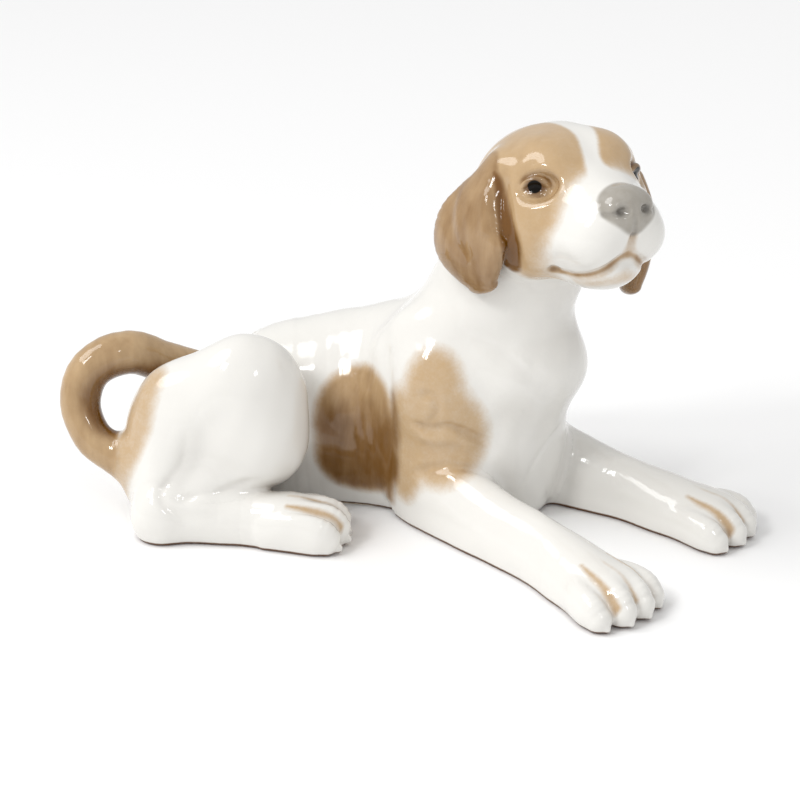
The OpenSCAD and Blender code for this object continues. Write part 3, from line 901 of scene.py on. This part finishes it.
def porcelain():
    # clear glaze over white body, with soft underglaze washes that pool unevenly, painted shade in crevices
    # and a painted shadow along the foot
    material, shader, w = newMaterial("glazedPorcelain")
    look = {name: colour(*value) for name, value in glazeLook.items()}
    place = w.node("TexCoord", out="Object")
    paint = w.node("Attribute", {"attribute_name": "paint"}, out="Color")
    # the paint's fourth channel is the painted shade in crevices
    creviceShade = w.node("Attribute", {"attribute_name": "paint"}, out="Alpha")
    parts = [w.node("SeparateColor", None, {"Color": paint}, out=k) for k in range(3)]
    mottle = noise(w, place, 420, 4, 0.6)
    wash = noise(w, place, 90, 3)
    streak = noise(w, w.node("Mapping", None, {"Vector": place, "Rotation": (0.5, 0.3, 0.2),
                                               "Scale": (1, 1, 0.22)}), 330, 3)
    fine = noise(w, place, 1500, 2)
    tan = parts[0] + (mottle - 0.5) * 0.3 + (fine - 0.5) * 0.2 + (wash - 0.5) * 0.16
    tan = (tan * parts[0].rise(0.0, 0.3)).rise(0.04, 1.0)
    pooled = (streak - 0.5) * 0.42 + (wash - 0.5) * 0.3
    brown = (parts[1] + pooled * parts[1].rise(0.02, 0.4)).rise(0.0, 1.0)
    # painted shade: the white body turns grey in crevices and hollows
    base = w.over(creviceShade * creviceShade * 0.55, look["body"], look["shade"])
    base = w.over(tan, base, look["tan"])
    base = w.over(brown, base, look["brown"])
    # painted shade: the nose darkens towards the nostril colour in its nostrils and crevices
    noseTone = w.over(creviceShade, look["nose"], look["nostril"])
    base = w.over(parts[2] * (0.95 + (mottle - 0.5) * 0.3), base, noseTone)
    inPupil = 0.0
    for spot in eyePlaces():
        away = w.node("VectorMath", {"operation": "DISTANCE"}, {0: place, 1: spot}, out="Value")
        base = w.over((1 - away.rise(*edgesOf["iris"])) * 0.75, base, look["iris"])
        inPupil = inPupil + (1 - away.rise(*edgesOf["pupil"]))
    height = w.node("SeparateXYZ", None, {"Vector": place}, out="Z")
    # painted shadow where the figure meets the floor: the lowest millimetre turns dark brown, and is rough
    # like an unglazed edge
    foot = 1 - (height + (mottle - 0.5) * 0.0003).rise(*edgesOf["foot"])
    base = w.over(foot, base, look["foot"])
    w.put(shader.inputs["Base Color"], base)
    w.put(shader.inputs["Roughness"], 0.07 + wash * 0.06 + foot * 0.5)
    waves = noise(w, place, 150, 2) * 0.6 + noise(w, place, 700, 2) * 0.12
    dimples = w.node("Bump", None, {"Strength": 0.35, "Distance": 0.0004, "Height": waves})
    w.put(shader.inputs["Normal"], dimples)
    w.put(shader.inputs["IOR"], 1.52)
    w.put(shader.inputs["Coat Weight"], 0.12)
    w.put(shader.inputs["Coat Roughness"], 0.03)
    # the pupils are duller than the glaze round them, so that they stay dark
    pupil = w.node("BsdfPrincipled", None, {"Base Color": look["pupil"], "Roughness": 0.12,
                                            "Specular IOR Level": 0.15})
    mixed = w.node("MixShader", None, {0: inPupil, 1: Wire(w.tree, shader.outputs[0]), 2: pupil})
    w.put(w.tree.nodes["Material Output"].inputs["Surface"], mixed)
    return material


def bisque():
    # dry unglazed clay with fine grains and kiln stains
    material, shader, w = newMaterial("unglazedBisque")
    place = w.node("TexCoord", out="Object")
    grain = noise(w, place, 2600, 4, 0.7)
    stain = noise(w, place, 70, 4)
    base = w.over(stain.rise(0.35, 0.75), colour(232, 224, 208), colour(198, 176, 146))
    base = w.over(grain.rise(0.55, 0.8) * 0.35, base, colour(168, 140, 106))
    w.put(shader.inputs["Base Color"], base)
    w.put(shader.inputs["Roughness"], 0.72 + grain * 0.2)
    grit = w.node("Bump", None, {"Strength": 0.5, "Distance": 0.0001, "Height": grain})
    w.put(shader.inputs["Normal"], grit)
    return material


glaze = porcelain()
with ThreadPoolExecutor() as pool:
    made = dict(zip(casts, pool.map(sculpt, casts)))
for name in casts:
    piece = makeCasting(name, made[name], glaze)
    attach(piece, "root")
    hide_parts(name)
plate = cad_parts["closing_plate"]
dry = bisque()
for slot in plate.material_slots:
    slot.material = dry
print("castings and closing plate done")


# the floor's half width and height in metres; each light's place in metres, strength, and size in
# metres, or for the sun the width of its soft disc in degrees
studio = {"floor": (12.0, -0.00005),
          "sun": ((-1.0, -0.55, 1.4), 1.15, 34),
          "lamps": {"leftPane": ((-0.44, -0.82, 0.85), 2.0, (0.10, 0.26)),
                    "rightPane": ((-0.30, -0.87, 0.85), 2.0, (0.10, 0.26)),
                    "lamp": ((0.7, -0.75, 0.8), 0.9, (0.1, 0.14))},
          "lampTarget": (0, 0, 0.04),
          "sky": 0.69}


def makeFloor():
    # one pale square, just under the figurine
    far, low = studio["floor"]
    mesh = bpy.data.meshes.new("floor")
    places = [(-far, -far, low), (far, -far, low), (far, far, low), (-far, far, low)]
    mesh.from_pydata(places, [], [(0, 1, 2, 3)])
    floor = bpy.data.objects.new("floor", mesh)
    bpy.context.collection.objects.link(floor)
    material, shader, w = newMaterial("paleFloor")
    w.put(shader.inputs["Base Color"], (0.93, 0.93, 0.93, 1))
    w.put(shader.inputs["Roughness"], 0.6)
    mesh.materials.append(material)


def makeSun():
    # even light from one direction
    place, strength, spread = studio["sun"]
    data = bpy.data.lights.new("daylight", "SUN")
    data.energy = strength
    data.angle = math.radians(spread)
    light = bpy.data.objects.new("daylight", data)
    light.rotation_euler = lookAt(place, (0, 0, 0))
    bpy.context.collection.objects.link(light)


def makeLamp(name, place, power, size):
    # a rectangle of light that faces the figurine
    data = bpy.data.lights.new(name, "AREA")
    data.shape = "RECTANGLE"
    data.energy = power
    data.size, data.size_y = size
    light = bpy.data.objects.new(name, data)
    light.location = place
    light.rotation_euler = lookAt(place, studio["lampTarget"])
    bpy.context.collection.objects.link(light)


def makeSky():
    # plain white light from all round
    world = bpy.data.worlds.new("studio")
    bpy.context.scene.world = world
    world.use_nodes = True
    background = world.node_tree.nodes["Background"]
    background.inputs["Color"].default_value = (1, 1, 1, 1)
    background.inputs["Strength"].default_value = studio["sky"]


makeFloor()
makeSun()
for name, (place, power, size) in studio["lamps"].items():
    makeLamp(name, place, power, size)
makeSky()
bpy.context.scene.view_settings.view_transform = "Standard"
print("floor and lights done")
